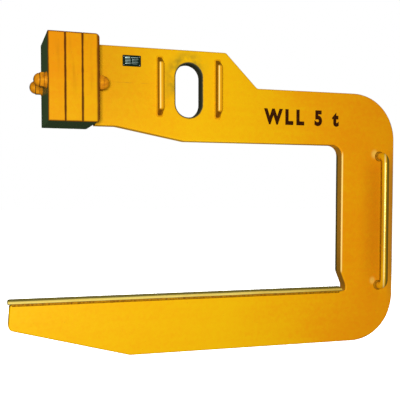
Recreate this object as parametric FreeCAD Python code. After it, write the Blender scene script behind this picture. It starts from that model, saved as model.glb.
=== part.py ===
import FreeCAD
import Part
import math
import os

# Coil hook: a C-shaped plate that hangs from a crane hook by the slot in its upper arm and carries
# a steel coil on its lower arm.  Millimetres.  The origin is the centre of the half-round upper end
# of the suspension slot, in the middle of the plate's thickness.  +X runs along the arms from their
# tips to the closed back, +Z is up, and -Y is the front face, which bears the nameplate.

# ---- driving dimensions of the flame-cut plate ----
plate_thickness = 50.0
overall_length = 1500.0
overall_height = 1097.0
tip_to_slot = 645.0            # tip of the lower arm to the slot's centre line
metal_over_slot = 48.0
slot_width = 98.0
slot_height = 192.0
slot_edge_radius = 8.0
plate_edge_radius = 6.0

# ---- heights above the bottom edge ----
lower_arm_top = 200.0
throat_top = 770.5
arm_end_underside = 818.0
back_top = 972.5
tip_underside = 112.0

# ---- distances from the tip of the lower arm ----
tip_lean = 7.0                 # the tip's end face leans back by this at the top
heel_start = 424.0
arm_end = 304.0
underside_slope_start = 378.0
underside_slope_end = 631.0
shoulder_start = 788.0
throat_back = 1268.0

# ---- corners and the relief at the foot of the throat ----
back_corner_radius = 180.0
throat_corner_radius = 40.0
tip_low_radius = 20.0
tip_high_radius = 12.0
heel_radius = 40.0
underside_bend_radius = 40.0
shoulder_radius = 14.0
shoulder_foot_radius = 16.0
relief_depth = 22.0
relief_height = 25.0
relief_slope = 53.0
relief_low_radius = 10.0
relief_bend_radius = 30.0

# ---- saddle bar ----
saddle_start = 0.0             # from the tip of the lower arm
saddle_end = 1273.0
saddle_width = 60.0
saddle_height = 17.0
saddle_side_height = 7.0
saddle_nose_radius = 12.0
saddle_foot_inset = 1.0        # foot, inside the plate's faces
saddle_bulge_inset = 2.2       # a point on the curved sides, in from the full width
saddle_bulge_height = 2.45

# ---- counterweight ----
slab_thickness = 57.0
block_depth = 245.0
block_height = 294.0
block_top_over_arm = 14.0
slab_edge_radius = 2.0
end_plate_corner_radius = 14.0

# ---- tie studs, M30 ----
stud_diameter = 30.0
stud_hole_diameter = 33.0
stud_offset = 84.0             # from the plate's middle
stud_below_arm_top = 142.0
stud_chamfer = 2.0
thread_clearance = 0.1
nut_across_flats = 46.0
cap_nut_hex_height = 15.0
cap_nut_height = 35.0
cap_nut_chamfer_angle = 30.0
cap_nut_dome_inset = 0.8       # dome's rim, inside the flats
cap_nut_thread_run_out = 2.0
washer_diameter = 56.0
washer_thickness = 4.0
washer_edge_radius = 0.8
washer_clearance = 0.5
lock_washer_diameter = 50.0
lock_washer_thickness = 5.0
lock_washer_split = 4.0
lock_washer_clearance = 0.3

# ---- guide ribs beside the slot ----
rib_thickness = 18.0
rib_stand_out = 35.0
rib_base_length = 210.0
rib_outer_length = 160.0
rib_spacing = 219.0            # between the ribs' centre lines
rib_centre_below_arm_top = 135.0
rib_edge_radius = 5.0

# ---- handles ----
handle_diameter = 28.0
handle_stand_out = 45.0        # plate face to the centre of the grip
handle_bend_radius = 29.0
handle_from_back_edge = 66.0
handle_top_leg = 730.0         # heights above the bottom edge
handle_bottom_leg = 219.0

# ---- welds ----
rib_weld_leg = 6.0
handle_weld_leg = 7.0
end_plate_weld_leg = 12.0
saddle_weld_radius = 6.0
saddle_weld_inset = 1.0        # bead's centre, inside the plate's faces
saddle_weld_sink = 1.5         # and below the seam
saddle_weld_start = 14.0       # from the tip of the lower arm
saddle_weld_end = 1262.0
end_plate_weld_start = 12.0    # above the arm's underside

# ---- nameplate ----
nameplate_length = 66.0
nameplate_height = 39.0
nameplate_thickness = 1.5
nameplate_from_tip = 434.0
nameplate_below_arm_top = 50.5
nameplate_corner_radius = 3.0
rivet_diameter = 5.0
rivet_head_height = 1.6
rivet_inset = 5.0
rivet_edge_radius = 1.2

# ---- positions that follow from them ----
half_plate = plate_thickness / 2
slot_end_radius = slot_width / 2
arm_top = slot_end_radius + metal_over_slot
bottom = arm_top - overall_height
tip = -tip_to_slot
back = tip + overall_length
block_right = tip + arm_end
block_left = block_right - 3 * slab_thickness
block_top = arm_top + block_top_over_arm
block_bottom = block_top - block_height
stud_height = arm_top - stud_below_arm_top

front = -1
rear = 1


def along(distance):
    """X of a point at a distance from the tip of the lower arm."""
    return tip + distance


def above(height):
    """Z of a point at a height above the bottom edge."""
    return bottom + height


def point(x, y, z):
    return FreeCAD.Vector(x, y, z)


def rounded_outline(corners):
    """Closed wire through (point, radius) corners, each corner rounded by a tangent arc."""
    edges = []
    starts = []
    ends = []
    middles = []
    count = len(corners)
    for index in range(count):
        here, radius = corners[index]
        before = corners[index - 1][0]
        after = corners[(index + 1) % count][0]
        back_way = (before - here).normalize()
        on_way = (after - here).normalize()
        half_angle = back_way.getAngle(on_way) / 2
        reach = radius / math.tan(half_angle)
        bisector = (back_way + on_way).normalize()
        starts.append(here + back_way * reach)
        ends.append(here + on_way * reach)
        middles.append(here + bisector * (radius / math.sin(half_angle) - radius))
    for index in range(count):
        if corners[index][1] > 0:
            edges.append(Part.Arc(starts[index], middles[index], ends[index]).toShape())
        following = (index + 1) % count
        edges.append(Part.makeLine(ends[index], starts[following]))
    return Part.Wire(edges)


def prism(wire, direction):
    """Solid swept by a flat wire along a straight line."""
    return Part.Face(wire).extrude(direction)


def hexagon_prism(x, y, z, across_flats, height):
    """Hexagonal prism along +X with one corner up."""
    corner_radius = across_flats / math.sqrt(3)
    points = []
    for step in range(7):
        angle = math.radians(90 + 60 * step)
        points.append(point(x, y + corner_radius * math.cos(angle), z + corner_radius * math.sin(angle)))
    return prism(Part.makePolygon(points), point(height, 0, 0))


def rod(x, y, z, radius, length):
    """Cylinder along +X."""
    return Part.makeCylinder(radius, length, point(x, y, z), point(1, 0, 0))


# ---- hook body: one flame-cut plate with its edges ground round ----
def make_hook_body():
    relief_back = throat_back + relief_depth
    relief_top = lower_arm_top + relief_height
    corners = [
        (along(0), above(tip_underside), tip_low_radius),
        (along(tip_lean), above(lower_arm_top), tip_high_radius),
        (along(relief_back), above(lower_arm_top), relief_low_radius),
        (along(relief_back), above(relief_top), relief_bend_radius),
        (along(throat_back), above(relief_top + relief_slope), relief_bend_radius),
        (along(throat_back), above(throat_top), throat_corner_radius),
        (along(underside_slope_end), above(throat_top), underside_bend_radius),
        (along(underside_slope_start), above(arm_end_underside), underside_bend_radius),
        (along(arm_end), above(arm_end_underside), 0),
        (along(arm_end), arm_top, 0),
        (along(shoulder_start), arm_top, shoulder_radius),
        (along(shoulder_start) + arm_top - above(back_top), above(back_top), shoulder_foot_radius),
        (back, above(back_top), back_corner_radius),
        (back, bottom, back_corner_radius),
        (along(heel_start), bottom, heel_radius),
    ]
    outline = rounded_outline([(point(x, -half_plate, z), radius) for x, z, radius in corners])
    plate = prism(outline, point(0, plate_thickness, 0))
    rounded_edges = []
    for edge in plate.Edges:
        flat_to_face = abs(abs(edge.CenterOfMass.y) - half_plate) < 0.01
        at_arm_end = abs(edge.CenterOfMass.x - along(arm_end)) < 0.01
        if flat_to_face and not at_arm_end:
            rounded_edges.append(edge)
    plate = plate.makeFillet(plate_edge_radius, rounded_edges)
    return plate.cut(make_slot_cutter())


def make_slot_cutter():
    """Through slot with half-round ends, its edges flared out round for the crane hook."""
    slot_bottom = slot_width - slot_height
    corners = []
    for x, z in ((-1, 0), (1, 0), (1, 1), (-1, 1)):
        top_or_bottom = slot_end_radius if z else slot_bottom - slot_end_radius
        corners.append((point(x * slot_end_radius, -half_plate, top_or_bottom), slot_end_radius - 0.001))
    cutter = prism(rounded_outline(corners), point(0, plate_thickness, 0))
    backing_size = point(4 * slot_width, plate_thickness, 3 * slot_height)
    backing = Part.makeBox(backing_size.x, backing_size.y, backing_size.z)
    backing.translate(point(-backing_size.x / 2, -half_plate, -backing_size.z / 2))
    ring = backing.cut(cutter)
    rims = []
    for edge in ring.Edges:
        near_slot = abs(edge.CenterOfMass.x) < slot_width and abs(edge.CenterOfMass.z) < slot_height
        if near_slot and abs(abs(edge.CenterOfMass.y) - half_plate) < 0.01:
            rims.append(edge)
    ring = ring.makeFillet(slot_edge_radius, rims)
    return backing.cut(ring)


# ---- saddle bar: crowned bar welded along the lower arm, rounded at the tip ----
def saddle_section(x):
    """Crowned top, and sides that curve in to a foot narrower than the plate."""
    seat = above(lower_arm_top)
    half_width = saddle_width / 2
    foot = half_plate - saddle_foot_inset
    side = seat + saddle_side_height
    bulge = half_width - saddle_bulge_inset
    bulge_height = seat + saddle_bulge_height
    rear_foot = point(x, foot, seat)
    rear_bulge = point(x, bulge, bulge_height)
    rear_side = point(x, half_width, side)
    crown = point(x, 0, seat + saddle_height)
    front_side = point(x, -half_width, side)
    front_bulge = point(x, -bulge, bulge_height)
    front_foot = point(x, -foot, seat)
    return Part.Wire([
        Part.makeLine(front_foot, rear_foot),
        Part.Arc(rear_foot, rear_bulge, rear_side).toShape(),
        Part.Arc(rear_side, crown, front_side).toShape(),
        Part.Arc(front_side, front_bulge, front_foot).toShape(),
    ])


def make_saddle_bar():
    seat = above(lower_arm_top)
    start = along(saddle_start)
    end = along(saddle_end)
    margin = saddle_height
    bar = prism(saddle_section(start - margin), point(end - start + margin, 0, 0))
    half_width = saddle_width / 2
    plan = rounded_outline([
        (point(start, -half_width, seat - margin), saddle_nose_radius),
        (point(start, half_width, seat - margin), saddle_nose_radius),
        (point(end + margin, half_width + margin, seat - margin), 0),
        (point(end + margin, -half_width - margin, seat - margin), 0),
    ])
    bar = bar.common(prism(plan, point(0, 0, 4 * margin)))
    side_view = rounded_outline([
        (point(start, -2 * half_width, seat + saddle_height), saddle_nose_radius),
        (point(end + margin, -2 * half_width, seat + saddle_height + 1), 0),
        (point(end + margin, -2 * half_width, seat - margin), 0),
        (point(start, -2 * half_width, seat - margin), 0),
    ])
    return bar.common(prism(side_view, point(0, 4 * half_width, 0)))


# ---- counterweight: an end plate welded to the arm, and two slabs clamped to it ----
def make_slab(x):
    slab = Part.makeBox(slab_thickness, block_depth, block_height, point(x, -block_depth / 2, block_bottom))
    for side in (front, rear):
        hole = rod(x, side * stud_offset, stud_height, stud_hole_diameter / 2, slab_thickness)
        slab = slab.cut(hole)
    return slab


def outer_edges(slab):
    """The slab's straight edges, without the rims of its holes."""
    straight = [edge for edge in slab.Edges if isinstance(edge.Curve, Part.Line)]
    return [edge for edge in straight if edge.Length > stud_diameter]


def make_counterweight_slab(x):
    slab = make_slab(x)
    return slab.makeFillet(slab_edge_radius, outer_edges(slab))


def make_end_plate():
    x = block_right - slab_thickness
    slab = make_slab(x)
    big = []
    for edge in outer_edges(slab):
        centre = edge.CenterOfMass
        runs_across = abs(centre.y) < 0.01
        if runs_across and abs(centre.x - block_right) < 0.01:
            big.append(edge)
    slab = slab.makeFillet(end_plate_corner_radius, big)
    small = []
    for edge in slab.Edges:
        centre = edge.CenterOfMass
        on_joint_side = abs(centre.x - x) < 0.01
        on_front_or_rear = abs(abs(centre.y) - block_depth / 2) < 0.01
        if on_front_or_rear or on_joint_side and isinstance(edge.Curve, Part.Line):
            small.append(edge)
    return slab.makeFillet(slab_edge_radius, small)


# ---- studs, washers and cap nuts that clamp the slabs ----
def make_stud(side):
    left = block_left - washer_thickness - lock_washer_thickness - cap_nut_hex_height
    right = block_right + washer_thickness + cap_nut_hex_height
    stud = rod(left, side * stud_offset, stud_height, stud_diameter / 2, right - left)
    ends = [edge for edge in stud.Edges if isinstance(edge.Curve, Part.Circle)]
    return stud.makeChamfer(stud_chamfer, ends)


def make_washer(x, side):
    y = side * stud_offset
    disc = rod(x, y, stud_height, washer_diameter / 2, washer_thickness)
    rims = [edge for edge in disc.Edges if isinstance(edge.Curve, Part.Circle)]
    disc = disc.makeFillet(washer_edge_radius, rims)
    return disc.cut(rod(x, y, stud_height, stud_diameter / 2 + washer_clearance, washer_thickness))


def make_lock_washer(x, side):
    """Split spring washer, flattened by the nut."""
    y = side * stud_offset
    ring = rod(x, y, stud_height, lock_washer_diameter / 2, lock_washer_thickness)
    bore_radius = stud_diameter / 2 + lock_washer_clearance
    ring = ring.cut(rod(x, y, stud_height, bore_radius, lock_washer_thickness))
    split_corner = point(x, y - lock_washer_split / 2, stud_height)
    split = Part.makeBox(lock_washer_thickness, lock_washer_split, lock_washer_diameter, split_corner)
    return ring.cut(split)


def make_cap_nut(x, side):
    """Hexagon nut closed by a dome, over the end of the stud; its dome points along +X."""
    y = side * stud_offset
    hexagon = hexagon_prism(x, y, stud_height, nut_across_flats, cap_nut_hex_height)
    base_radius = nut_across_flats / 2 - cap_nut_dome_inset
    barrel_radius = nut_across_flats / math.sqrt(3) + 1
    cone_rise = (barrel_radius - base_radius) * math.tan(math.radians(cap_nut_chamfer_angle))
    barrel = rod(x, y, stud_height, barrel_radius, cap_nut_hex_height - cone_rise)
    cone_start = point(x + cap_nut_hex_height - cone_rise, y, stud_height)
    cone = Part.makeCone(barrel_radius, base_radius, cone_rise, cone_start, point(1, 0, 0))
    hexagon = hexagon.common(barrel.fuse(cone).removeSplitter())
    dome_base = x + cap_nut_hex_height
    dome_rise = cap_nut_height - cap_nut_hex_height
    centre = point(dome_base, y, stud_height)
    rim = point(dome_base, y, stud_height + base_radius)
    shoulder = point(dome_base + dome_rise * 0.7, y, stud_height + base_radius * 0.7)
    tip_point = point(dome_base + dome_rise, y, stud_height)
    profile = [
        Part.makeLine(centre, rim),
        Part.Arc(rim, shoulder, tip_point).toShape(),
        Part.makeLine(tip_point, centre),
    ]
    dome = Part.Face(Part.Wire(profile)).revolve(centre, point(1, 0, 0), 360)
    nut = hexagon.fuse(dome).removeSplitter()
    thread_radius = stud_diameter / 2 + thread_clearance
    thread = rod(x, y, stud_height, thread_radius, cap_nut_hex_height + cap_nut_thread_run_out)
    return nut.cut(thread)


def make_outer_cap_nut(side):
    """The same cap nut turned round, against the lock washer of the outer slab."""
    seat = block_left - washer_thickness - lock_washer_thickness
    nut = make_cap_nut(seat, side)
    return nut.mirror(point(seat, 0, 0), point(1, 0, 0))


# ---- guide ribs: flat bars on edge beside the slot, with sloped ends ----
def make_rib(side, x_centre):
    z_centre = arm_top - rib_centre_below_arm_top
    y_base = side * half_plate
    y_outer = side * (half_plate + rib_stand_out)
    x = x_centre - rib_thickness / 2
    half_base = rib_base_length / 2
    half_outer = rib_outer_length / 2
    points = [
        point(x, y_base, z_centre - half_base),
        point(x, y_outer, z_centre - half_outer),
        point(x, y_outer, z_centre + half_outer),
        point(x, y_base, z_centre + half_base),
        point(x, y_base, z_centre - half_base),
    ]
    rib = prism(Part.makePolygon(points), point(rib_thickness, 0, 0))
    visible_edges = []
    for edge in rib.Edges:
        on_plate = abs(edge.CenterOfMass.y - y_base) < 0.01
        if not on_plate:
            visible_edges.append(edge)
    return rib.makeFillet(rib_edge_radius, visible_edges)


def make_rib_weld(side, x_centre, rib):
    """Fillet weld all round the foot of a rib."""
    z_centre = arm_top - rib_centre_below_arm_top
    slope = (rib_base_length - rib_outer_length) / 2 / rib_stand_out
    frames = []
    for lift in (0, rib_weld_leg):
        spread = rib_weld_leg - lift
        half_x = rib_thickness / 2 + spread
        half_z = rib_base_length / 2 - slope * lift + spread
        y = side * (half_plate + lift)
        frame = []
        for x_way, z_way in ((-1, -1), (1, -1), (1, 1), (-1, 1), (-1, -1)):
            frame.append(point(x_centre + x_way * half_x, y, z_centre + z_way * half_z))
        frames.append(Part.makePolygon(frame))
    return Part.makeLoft(frames, True, True).cut(rib)


# ---- handles: round bar bent twice and welded to the back ----
def handle_path(side):
    x = back - handle_from_back_edge
    y_plate = side * half_plate
    y_grip = side * (half_plate + handle_stand_out)
    top = above(handle_top_leg)
    low = above(handle_bottom_leg)
    radius = handle_bend_radius
    reach = radius * (1 - math.sqrt(0.5))
    y_bend = y_grip - side * radius
    return Part.Wire([
        Part.makeLine(point(x, y_plate, top), point(x, y_bend, top)),
        Part.Arc(
            point(x, y_bend, top),
            point(x, y_grip - side * reach, top - reach),
            point(x, y_grip, top - radius),
        ).toShape(),
        Part.makeLine(point(x, y_grip, top - radius), point(x, y_grip, low + radius)),
        Part.Arc(
            point(x, y_grip, low + radius),
            point(x, y_grip - side * reach, low + reach),
            point(x, y_bend, low),
        ).toShape(),
        Part.makeLine(point(x, y_bend, low), point(x, y_plate, low)),
    ])


def make_handle(side):
    path = handle_path(side)
    x = back - handle_from_back_edge
    start = point(x, side * half_plate, above(handle_top_leg))
    section = Part.Wire(Part.makeCircle(handle_diameter / 2, start, point(0, side, 0)))
    return path.makePipeShell([section], True, True)


def make_handle_welds(side):
    x = back - handle_from_back_edge
    beads = []
    for height in (handle_top_leg, handle_bottom_leg):
        foot = point(x, side * half_plate, above(height))
        axis = point(0, side, 0)
        leg_radius = handle_diameter / 2
        cone = Part.makeCone(leg_radius + handle_weld_leg, leg_radius, handle_weld_leg, foot, axis)
        beads.append(cone.cut(Part.makeCylinder(leg_radius, handle_weld_leg, foot, axis)))
    return Part.makeCompound(beads)


# ---- welds of the saddle bar and of the counterweight's end plate ----
def make_saddle_weld(side, plate, bar):
    seat = above(lower_arm_top)
    length = saddle_weld_end - saddle_weld_start
    y = side * (half_plate - saddle_weld_inset)
    bead = rod(along(saddle_weld_start), y, seat - saddle_weld_sink, saddle_weld_radius, length)
    return bead.cut(plate).cut(bar)


def make_end_plate_side_weld(side):
    leg = end_plate_weld_leg
    low = above(arm_end_underside) + end_plate_weld_start
    y = side * half_plate
    triangle = Part.makePolygon([
        point(block_right, y, low),
        point(block_right + leg, y, low),
        point(block_right, y + side * leg, low),
        point(block_right, y, low),
    ])
    return prism(triangle, point(0, 0, arm_top - 2 * plate_edge_radius - low))


def make_end_plate_top_weld(end_plate):
    """Bead across the arm's top, filling the end plate's rounded corner."""
    half_length = half_plate - plate_edge_radius
    foot = block_right - end_plate_corner_radius / 2
    leg = end_plate_weld_leg
    triangle = Part.makePolygon([
        point(foot, -half_length, arm_top),
        point(block_right + leg, -half_length, arm_top),
        point(foot, -half_length, arm_top + leg),
        point(foot, -half_length, arm_top),
    ])
    return prism(triangle, point(0, 2 * half_length, 0)).cut(end_plate)


# ---- nameplate and its rivets ----
def nameplate_centre():
    return along(nameplate_from_tip), arm_top - nameplate_below_arm_top


def make_nameplate():
    x, z = nameplate_centre()
    corners = []
    for x_way, z_way in ((-1, -1), (1, -1), (1, 1), (-1, 1)):
        corner = point(x + x_way * nameplate_length / 2, -half_plate, z + z_way * nameplate_height / 2)
        corners.append((corner, nameplate_corner_radius))
    return prism(rounded_outline(corners), point(0, -nameplate_thickness, 0))


def make_nameplate_rivets():
    x, z = nameplate_centre()
    heads = []
    for x_way, z_way in ((-1, -1), (1, -1), (1, 1), (-1, 1)):
        rivet_x = x + x_way * (nameplate_length / 2 - rivet_inset)
        rivet_z = z + z_way * (nameplate_height / 2 - rivet_inset)
        face = -half_plate - nameplate_thickness
        head = Part.makeCylinder(
            rivet_diameter / 2, rivet_head_height, point(rivet_x, face, rivet_z), point(0, -1, 0))
        top_rim = []
        for edge in head.Edges:
            if isinstance(edge.Curve, Part.Circle) and edge.CenterOfMass.y < face - rivet_head_height / 2:
                top_rim.append(edge)
        heads.append(head.makeFillet(rivet_edge_radius, top_rim))
    return Part.makeCompound(heads)


# ---- build every piece ----
pieces = {}
pieces["hook_body"] = make_hook_body()
pieces["saddle_bar"] = make_saddle_bar()
pieces["counterweight_end_plate"] = make_end_plate()
pieces["counterweight_middle_slab"] = make_counterweight_slab(block_left + slab_thickness)
pieces["counterweight_outer_slab"] = make_counterweight_slab(block_left)

sides = {"front": front, "rear": rear}
for side_name, side in sides.items():
    pieces[side_name + "_tie_stud"] = make_stud(side)
    pieces[side_name + "_handle"] = make_handle(side)
    pieces[side_name + "_handle_welds"] = make_handle_welds(side)
    pieces[side_name + "_end_plate_weld"] = make_end_plate_side_weld(side)
    saddle_weld = make_saddle_weld(side, pieces["hook_body"], pieces["saddle_bar"])
    pieces[side_name + "_saddle_weld"] = saddle_weld
    for rib_name, x_way in (("left", -1), ("right", 1)):
        x_centre = x_way * rib_spacing / 2
        rib = make_rib(side, x_centre)
        pieces[side_name + "_" + rib_name + "_rib"] = rib
        pieces[side_name + "_" + rib_name + "_rib_weld"] = make_rib_weld(side, x_centre, rib)


def both_studs(make_one):
    return Part.makeCompound([make_one(side) for side in (front, rear)])


outer_seat = block_left - washer_thickness
pieces["end_plate_top_weld"] = make_end_plate_top_weld(pieces["counterweight_end_plate"])
pieces["outer_washers"] = both_studs(lambda side: make_washer(outer_seat, side))
pieces["lock_washers"] = both_studs(lambda side: make_lock_washer(outer_seat - lock_washer_thickness, side))
pieces["outer_cap_nuts"] = both_studs(make_outer_cap_nut)
pieces["inner_washers"] = both_studs(lambda side: make_washer(block_right, side))
pieces["inner_cap_nuts"] = both_studs(lambda side: make_cap_nut(block_right + washer_thickness, side))
pieces["nameplate"] = make_nameplate()
pieces["nameplate_rivets"] = make_nameplate_rivets()

os.makedirs("parts", exist_ok=True)
for name, shape in pieces.items():
    shape.exportStep("parts/" + name + ".step")
    solids = shape.Solids
    volume = sum(solid.Volume for solid in solids)
    print(name, len(solids), "solid(s)", round(volume / 1000, 1), "cm3", "valid", shape.isValid())
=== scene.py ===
import math
import random

import bpy
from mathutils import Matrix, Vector


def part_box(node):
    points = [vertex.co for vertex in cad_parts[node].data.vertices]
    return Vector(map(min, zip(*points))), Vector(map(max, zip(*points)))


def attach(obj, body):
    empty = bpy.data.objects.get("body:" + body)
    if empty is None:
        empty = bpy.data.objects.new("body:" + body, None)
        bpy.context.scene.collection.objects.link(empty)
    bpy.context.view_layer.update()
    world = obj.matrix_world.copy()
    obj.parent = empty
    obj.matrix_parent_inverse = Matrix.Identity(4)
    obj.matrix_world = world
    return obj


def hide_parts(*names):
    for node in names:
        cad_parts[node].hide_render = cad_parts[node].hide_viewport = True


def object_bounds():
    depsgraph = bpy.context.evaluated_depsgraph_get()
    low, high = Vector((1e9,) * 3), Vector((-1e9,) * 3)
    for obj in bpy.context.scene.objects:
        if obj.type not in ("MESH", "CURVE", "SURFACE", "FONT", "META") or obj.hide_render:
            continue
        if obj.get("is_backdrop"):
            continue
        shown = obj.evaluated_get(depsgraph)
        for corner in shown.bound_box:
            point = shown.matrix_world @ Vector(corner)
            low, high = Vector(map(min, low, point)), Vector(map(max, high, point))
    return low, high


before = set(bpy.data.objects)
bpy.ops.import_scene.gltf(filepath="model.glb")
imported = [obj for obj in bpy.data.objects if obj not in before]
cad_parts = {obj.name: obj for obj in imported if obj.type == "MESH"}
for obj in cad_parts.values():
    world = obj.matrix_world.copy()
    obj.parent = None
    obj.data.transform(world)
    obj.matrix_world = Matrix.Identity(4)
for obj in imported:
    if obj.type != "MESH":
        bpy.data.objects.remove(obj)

cad_low, cad_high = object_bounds()
random.seed(7)


# ---- Hook body --------------------------------------------------------------------------------
# The C-shaped plate: 50 mm structural steel, flame cut, its edges ground round, then brushed with
# yellow enamel.  The slot's rim is rubbed bare and oily by the crane hook that hangs in it, and its
# dark colour there is also painted shade of the slot's wall.

class Signal:
    """One output of a finish's nodes, so that a mask or a height is written as plain arithmetic."""

    def __init__(self, finish, socket):
        self.finish = finish
        self.socket = socket

    def math(self, operation, first, second=0.0):
        sockets = {0: first, 1: second}
        return self.finish.node("ShaderNodeMath", {"operation": operation}, sockets)

    def __add__(self, other):
        return self.math("ADD", self, other)

    def __sub__(self, other):
        return self.math("SUBTRACT", self, other)

    def __mul__(self, other):
        return self.math("MULTIPLY", self, other)

    def __rsub__(self, other):
        return self.math("SUBTRACT", other, self)

    def __abs__(self):
        return self.math("ABSOLUTE", self)

    def __pow__(self, other):
        return self.math("POWER", self, other)

    __radd__ = __add__
    __rmul__ = __mul__

    def at_least(self, other):
        return self.math("MAXIMUM", self, other)

    def at_most(self, other):
        return self.math("MINIMUM", self, other)

    def sign(self):
        return self.math("SIGN", self)


class Finish:
    """One coat or bare surface: a material, and the nodes that vary it."""

    def __init__(self, name):
        self.material = bpy.data.materials.new(name)
        self.material.use_nodes = True
        self.tree = self.material.node_tree
        self.shader = self.tree.nodes["Principled BSDF"]
        self.place = self.node("ShaderNodeTexCoord", output="Object")

    def node(self, kind, settings=None, sockets=None, output=0):
        """Any node: its settings are set first, then each socket gets its value or its link."""
        made = self.tree.nodes.new(kind)
        for name, value in (settings or {}).items():
            setattr(made, name, value)
        for name, value in (sockets or {}).items():
            self.feed(made.inputs[name], value)
        return Signal(self, made.outputs[output])

    def feed(self, socket, value):
        if isinstance(value, Signal):
            self.tree.links.new(value.socket, socket)
        else:
            socket.default_value = value

    def set(self, **sockets):
        """Sockets of the shader itself, with _ for each space in a socket's name."""
        for name, value in sockets.items():
            self.feed(self.shader.inputs[name.replace("_", " ")], value)

    def noise(self, scale, detail=3.0, roughness=0.55, stretch=None):
        place = self.place
        if stretch:
            place = self.node("ShaderNodeMapping", None, {"Vector": place, "Scale": stretch})
        sockets = {"Vector": place, "Scale": scale, "Detail": detail, "Roughness": roughness}
        return self.node("ShaderNodeTexNoise", None, sockets)

    def step(self, value, low, high):
        """0 below low, 1 above high, and smooth between; high may be below low."""
        sockets = {"Value": value, "From Min": low, "From Max": high}
        return self.node("ShaderNodeMapRange", {"interpolation_type": "SMOOTHSTEP"}, sockets)

    def between(self, value, rise, fall):
        """1 between two soft edges: it rises over the first pair of limits, and falls over the second."""
        return self.step(value, rise[0], rise[1]) * self.step(value, fall[1], fall[0])

    def axis(self, name):
        return self.node("ShaderNodeSeparateXYZ", None, {"Vector": self.place}, output=name)

    def colours(self, mask, under, over):
        """Two colours mixed: under where the mask is 0, over where it is 1."""
        sockets = {"Factor": mask, 6: under, 7: over}
        return self.node("ShaderNodeMix", {"data_type": "RGBA"}, sockets, output=2)

    def bump(self, height, distance, strength=1.0):
        sockets = {"Height": height, "Distance": distance, "Strength": strength}
        return self.node("ShaderNodeBump", None, sockets)

    def spot(self, x, z, centre, reach_x, reach_z):
        """A soft round mark on a face that looks along Y: 1 at its centre, 0 outside."""
        across = (x - centre[0]) * (1 / reach_x)
        up = (z - centre[1]) * (1 / reach_z)
        return self.step((across * across + up * up) ** 0.5, 1.0, 0.25)


ENAMEL_YELLOW = (0.86, 0.475, 0.003, 1)
ENAMEL_ORANGE = (0.84, 0.28, 0.003, 1)
ENAMEL_GLOSS = (1.0, 0.74, 0.16, 1)
SHOP_GRIME = (0.075, 0.055, 0.018, 1)
BARE_STEEL = (0.23, 0.21, 0.18, 1)


def brushed_enamel(finish, orange=0.0, gloss=0.12):
    """Yellow enamel: cloudy between yellow and orange, faint brush marks, fine orange peel."""
    clouds = finish.noise(3.2, detail=4.0)
    mottle = finish.noise(70.0, detail=5.0, roughness=0.7)
    brush = finish.noise(26.0, detail=2.0, stretch=(0.12, 1.0, 1.6))
    share = (clouds - 0.5) * 0.9 + (mottle - 0.5) * 1.0 + (brush - 0.5) * 0.35 + orange
    colour = finish.colours(finish.step(share, -0.35, 1.2), ENAMEL_YELLOW, ENAMEL_ORANGE)
    specks = finish.step(finish.noise(240.0, detail=2.0), 0.70, 0.76) * 0.5
    colour = finish.colours(specks, colour, SHOP_GRIME)
    peel = finish.noise(420.0, detail=2.0) * 0.35 + finish.noise(60.0, detail=3.0) + brush * 0.8
    roughness = (mottle - 0.5) * 0.16 + (clouds - 0.5) * 0.1 + 0.36
    finish.set(Roughness=roughness, Normal=finish.bump(peel, 0.0007, 0.55))
    finish.set(Specular_IOR_Level=gloss, Specular_Tint=ENAMEL_GLOSS)
    return colour


def dress(node, finish):
    """A carried-over CAD piece gets its finish."""
    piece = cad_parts[node]
    piece.data.materials.clear()
    piece.data.materials.append(finish.material)


SLOT_RADIUS = 0.049
SLOT_STRAIGHT = 0.094
HALF_PLATE = 0.025
THROAT_EDGE = 0.6258
SCRATCH_PLACE = (-0.213, -0.030)
TOP_HIGHLIGHT_PLACE = (0.767, -0.262)
LOW_HIGHLIGHT_PLACE = (0.764, -0.762)

OILY_SMUDGE = (0.20, 0.17, 0.015, 1)
SCRATCH_BROWN = (0.35, 0.16, 0.02, 1)
HIGHLIGHT_YELLOW = (1.0, 0.68, 0.12, 1)
SHADE_OCHRE = (0.50, 0.22, 0.003, 1)
REFLECTION_ORANGE = (0.50, 0.13, 0.003, 1)
THROAT_GRIME_AND_SHADE = (0.15, 0.095, 0.018, 1)
THROAT_SHADE_OLIVE = (0.035, 0.040, 0.012, 1)
BACK_SHADE_BROWN = (0.28, 0.13, 0.020, 1)
EDGE_HIGHLIGHT_CREAM = (1.0, 0.76, 0.26, 1)
RUBBED_STEEL_AND_SHADE = (0.05, 0.055, 0.035, 1)

body_paint = Finish("hook_body_enamel")
x = body_paint.axis("X")
z = body_paint.axis("Z")
grain = body_paint.noise(90.0, detail=6.0, roughness=0.75)

# Painted shade: the coat grows more orange towards the back and duller towards the upper arm's end.
shade_towards_back = body_paint.step(x, 0.16, 0.78)
shade_towards_arm_end = body_paint.step(x, 0.02, -0.34) * body_paint.step(z, -0.35, 0.02)
colour = brushed_enamel(body_paint, shade_towards_back * 0.85 + shade_towards_arm_end * 0.45, gloss=0.25)

# The slot's rubbed rim, its dark colour also painted shade of the slot's wall, and the oily smudge
# above it and to its left.
slot_drop = (z * -1.0 - SLOT_STRAIGHT).at_least(0.0) + z.at_least(0.0)
slot_distance = ((x * x + slot_drop * slot_drop) ** 0.5) - SLOT_RADIUS
rubbed_and_shaded_rim = body_paint.step(slot_distance + (grain - 0.5) * 0.006, 0.0075, 0.0025)
above_or_left = body_paint.step(z - x, -0.06, 0.06)
smudge = body_paint.step(slot_distance, 0.055, 0.004) * above_or_left
smudge = smudge * body_paint.step(body_paint.noise(22.0, detail=4.0), 0.30, 0.62)
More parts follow.
